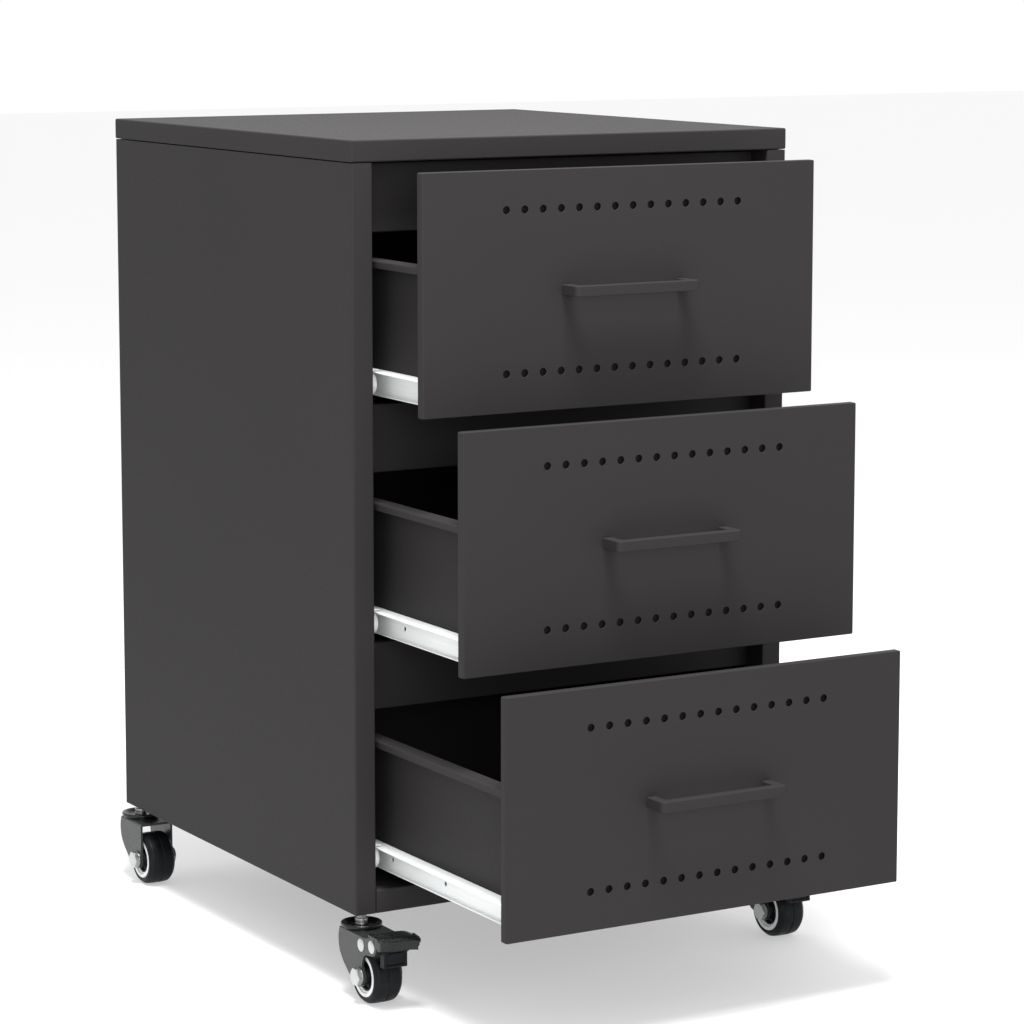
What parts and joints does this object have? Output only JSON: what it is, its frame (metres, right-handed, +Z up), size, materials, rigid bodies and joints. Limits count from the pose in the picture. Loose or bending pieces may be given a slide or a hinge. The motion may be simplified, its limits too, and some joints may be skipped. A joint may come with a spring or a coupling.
{
  "type": "rolling pedestal cabinet",
  "caption": "Narrow sheet-steel pedestal cabinet on swivel casters, with a stack of perforated drawers on roller slides, bow handles and foot brakes on the front casters.",
  "frame": {"origin": "on the floor, under the centre of the object's box with the drawers open as at rest", "axes": "+Z up, -Y to the front where the drawers come out, +X to the right seen from the front"},
  "size_m": [0.4102, 0.6478, 0.6553],
  "materials": {
    "body_paint": "satin anthracite powder coat",
    "slide_enamel": "white epoxy enamel",
    "roller_nylon": "white nylon",
    "zinc_plate": "bright zinc plate",
    "fork_black": "black electrocoat",
    "tyre_black": "moulded polyurethane tread"
  },
  "bodies": {
    "cabinet": {"top_panel": "body_paint", "left_side_panel": "body_paint", "right_side_panel": "body_paint", "back_panel": "body_paint", "bottom_panel": "body_paint", "front_rail_lower": "body_paint", "front_rail_upper": "body_paint", "front_rail_top": "body_paint", "lower_left_cabinet_slide": "slide_enamel", "lower_right_cabinet_slide": "slide_enamel", "middle_left_cabinet_slide": "slide_enamel", "middle_right_cabinet_slide": "slide_enamel", "upper_left_cabinet_slide": "slide_enamel", "upper_right_cabinet_slide": "slide_enamel", "front_left_caster_stem": "zinc_plate", "front_right_caster_stem": "zinc_plate", "rear_left_caster_stem": "zinc_plate", "rear_right_caster_stem": "zinc_plate"},
    "lower_drawer": {"lower_drawer_front": "body_paint", "lower_drawer_handle": "body_paint", "lower_drawer_tray": "body_paint", "lower_left_drawer_slide": "slide_enamel", "lower_right_drawer_slide": "slide_enamel"},
    "lower_left_front_roller": {"lower_left_front_roller": "roller_nylon"},
    "lower_left_rear_roller": {"lower_left_rear_roller": "roller_nylon"},
    "lower_right_front_roller": {"lower_right_front_roller": "roller_nylon"},
    "lower_right_rear_roller": {"lower_right_rear_roller": "roller_nylon"},
    "middle_drawer": {"middle_drawer_front": "body_paint", "middle_drawer_handle": "body_paint", "middle_drawer_tray": "body_paint", "middle_left_drawer_slide": "slide_enamel", "middle_right_drawer_slide": "slide_enamel"},
    "middle_left_front_roller": {"middle_left_front_roller": "roller_nylon"},
    "middle_left_rear_roller": {"middle_left_rear_roller": "roller_nylon"},
    "middle_right_front_roller": {"middle_right_front_roller": "roller_nylon"},
    "middle_right_rear_roller": {"middle_right_rear_roller": "roller_nylon"},
    "upper_drawer": {"upper_drawer_front": "body_paint", "upper_drawer_handle": "body_paint", "upper_drawer_tray": "body_paint", "upper_left_drawer_slide": "slide_enamel", "upper_right_drawer_slide": "slide_enamel"},
    "upper_left_front_roller": {"upper_left_front_roller": "roller_nylon"},
    "upper_left_rear_roller": {"upper_left_rear_roller": "roller_nylon"},
    "upper_right_front_roller": {"upper_right_front_roller": "roller_nylon"},
    "upper_right_rear_roller": {"upper_right_rear_roller": "roller_nylon"},
    "front_left_caster": {"front_left_caster_fork": "fork_black", "front_left_caster_axle": "zinc_plate"},
    "front_left_wheel": {"front_left_caster_wheel": "tyre_black"},
    "front_left_pedal": {"front_left_brake_pedal": "fork_black"},
    "front_right_caster": {"front_right_caster_fork": "fork_black", "front_right_caster_axle": "zinc_plate"},
    "front_right_wheel": {"front_right_caster_wheel": "tyre_black"},
    "front_right_pedal": {"front_right_brake_pedal": "fork_black"},
    "rear_left_caster": {"rear_left_caster_fork": "fork_black", "rear_left_caster_axle": "zinc_plate"},
    "rear_left_wheel": {"rear_left_caster_wheel": "tyre_black"},
    "rear_right_caster": {"rear_right_caster_fork": "fork_black", "rear_right_caster_axle": "zinc_plate"},
    "rear_right_wheel": {"rear_right_caster_wheel": "tyre_black"}
  },
  "joints": [
    {"name": "lower_drawer_travel", "type": "slide", "parent": "cabinet", "child": "lower_drawer", "axis": [0, -1, 0], "range_m": [-0.1913, 0.1087]},
    {"name": "lower_left_front_roller_spin", "type": "hinge", "parent": "cabinet", "child": "lower_left_front_roller", "pos_m": [-0.1719, -0.0896, 0.1037], "axis": [1, 0, 0], "range_deg": [-1237, 705]},
    {"name": "lower_left_rear_roller_spin", "type": "hinge", "parent": "lower_drawer", "child": "lower_left_rear_roller", "pos_m": [-0.1683, 0.0948, 0.1023], "axis": [1, 0, 0], "range_deg": [-1101, 628]},
    {"name": "lower_right_front_roller_spin", "type": "hinge", "parent": "cabinet", "child": "lower_right_front_roller", "pos_m": [0.1719, -0.0896, 0.1037], "axis": [1, 0, 0], "range_deg": [-1237, 705]},
    {"name": "lower_right_rear_roller_spin", "type": "hinge", "parent": "lower_drawer", "child": "lower_right_rear_roller", "pos_m": [0.1683, 0.0948, 0.1023], "axis": [1, 0, 0], "range_deg": [-1101, 628]},
    {"name": "middle_drawer_travel", "type": "slide", "parent": "cabinet", "child": "middle_drawer", "axis": [0, -1, 0], "range_m": [-0.1294, 0.1706]},
    {"name": "middle_left_front_roller_spin", "type": "hinge", "parent": "cabinet", "child": "middle_left_front_roller", "pos_m": [-0.1719, -0.0896, 0.2872], "axis": [1, 0, 0], "range_deg": [-838, 1103]},
    {"name": "middle_left_rear_roller_spin", "type": "hinge", "parent": "middle_drawer", "child": "middle_left_rear_roller", "pos_m": [-0.1683, 0.1567, 0.2858], "axis": [1, 0, 0], "range_deg": [-746, 982]},
    {"name": "middle_right_front_roller_spin", "type": "hinge", "parent": "cabinet", "child": "middle_right_front_roller", "pos_m": [0.1719, -0.0896, 0.2872], "axis": [1, 0, 0], "range_deg": [-838, 1103]},
    {"name": "middle_right_rear_roller_spin", "type": "hinge", "parent": "middle_drawer", "child": "middle_right_rear_roller", "pos_m": [0.1683, 0.1567, 0.2858], "axis": [1, 0, 0], "range_deg": [-746, 982]},
    {"name": "upper_drawer_travel", "type": "slide", "parent": "cabinet", "child": "upper_drawer", "axis": [0, -1, 0], "range_m": [-0.0698, 0.2302]},
    {"name": "upper_left_front_roller_spin", "type": "hinge", "parent": "cabinet", "child": "upper_left_front_roller", "pos_m": [-0.1719, -0.0896, 0.4707], "axis": [1, 0, 0], "range_deg": [-454, 1487]},
    {"name": "upper_left_rear_roller_spin", "type": "hinge", "parent": "upper_drawer", "child": "upper_left_rear_roller", "pos_m": [-0.1683, 0.2163, 0.4693], "axis": [1, 0, 0], "range_deg": [-405, 1324]},
    {"name": "upper_right_front_roller_spin", "type": "hinge", "parent": "cabinet", "child": "upper_right_front_roller", "pos_m": [0.1719, -0.0896, 0.4707], "axis": [1, 0, 0], "range_deg": [-454, 1487]},
    {"name": "upper_right_rear_roller_spin", "type": "hinge", "parent": "upper_drawer", "child": "upper_right_rear_roller", "pos_m": [0.1683, 0.2163, 0.4693], "axis": [1, 0, 0], "range_deg": [-405, 1324]},
    {"name": "front_left_swivel", "type": "hinge", "parent": "cabinet", "child": "front_left_caster", "pos_m": [-0.1855, -0.1011, 0.0535], "axis": [0, 0, 1], "continuous": true},
    {"name": "front_left_wheel_spin", "type": "hinge", "parent": "front_left_caster", "child": "front_left_wheel", "pos_m": [-0.1855, -0.1256, 0.022], "axis": [1, 0, 0], "continuous": true},
    {"name": "front_left_brake", "type": "hinge", "parent": "front_left_caster", "child": "front_left_pedal", "pos_m": [-0.1855, -0.145, 0.0494], "axis": [1, 0, 0], "range_deg": [0, 17]},
    {"name": "front_right_swivel", "type": "hinge", "parent": "cabinet", "child": "front_right_caster", "pos_m": [0.1855, -0.1011, 0.0535], "axis": [0, 0, 1], "continuous": true},
    {"name": "front_right_wheel_spin", "type": "hinge", "parent": "front_right_caster", "child": "front_right_wheel", "pos_m": [0.1855, -0.1256, 0.022], "axis": [1, 0, 0], "continuous": true},
    {"name": "front_right_brake", "type": "hinge", "parent": "front_right_caster", "child": "front_right_pedal", "pos_m": [0.1855, -0.145, 0.0494], "axis": [1, 0, 0], "range_deg": [0, 17]},
    {"name": "rear_left_swivel", "type": "hinge", "parent": "cabinet", "child": "rear_left_caster", "pos_m": [-0.1855, 0.3079, 0.0535], "axis": [0, 0, 1], "continuous": true},
    {"name": "rear_left_wheel_spin", "type": "hinge", "parent": "rear_left_caster", "child": "rear_left_wheel", "pos_m": [-0.1855, 0.2834, 0.022], "axis": [1, 0, 0], "continuous": true},
    {"name": "rear_right_swivel", "type": "hinge", "parent": "cabinet", "child": "rear_right_caster", "pos_m": [0.1855, 0.3079, 0.0535], "axis": [0, 0, 1], "continuous": true},
    {"name": "rear_right_wheel_spin", "type": "hinge", "parent": "rear_right_caster", "child": "rear_right_wheel", "pos_m": [0.1855, 0.2834, 0.022], "axis": [1, 0, 0], "continuous": true}
  ],
  "couplings": [
    {"joint": "lower_left_front_roller_spin", "follows": "lower_drawer_travel", "rad_per_m": 112.36},
    {"joint": "lower_left_rear_roller_spin", "follows": "lower_drawer_travel", "rad_per_m": 100},
    {"joint": "lower_right_front_roller_spin", "follows": "lower_drawer_travel", "rad_per_m": 112.36},
    {"joint": "lower_right_rear_roller_spin", "follows": "lower_drawer_travel", "rad_per_m": 100},
    {"joint": "middle_left_front_roller_spin", "follows": "middle_drawer_travel", "rad_per_m": 112.36},
    {"joint": "middle_left_rear_roller_spin", "follows": "middle_drawer_travel", "rad_per_m": 100},
    {"joint": "middle_right_front_roller_spin", "follows": "middle_drawer_travel", "rad_per_m": 112.36},
    {"joint": "middle_right_rear_roller_spin", "follows": "middle_drawer_travel", "rad_per_m": 100},
    {"joint": "upper_left_front_roller_spin", "follows": "upper_drawer_travel", "rad_per_m": 112.36},
    {"joint": "upper_left_rear_roller_spin", "follows": "upper_drawer_travel", "rad_per_m": 100},
    {"joint": "upper_right_front_roller_spin", "follows": "upper_drawer_travel", "rad_per_m": 112.36},
    {"joint": "upper_right_rear_roller_spin", "follows": "upper_drawer_travel", "rad_per_m": 100}
  ]
}
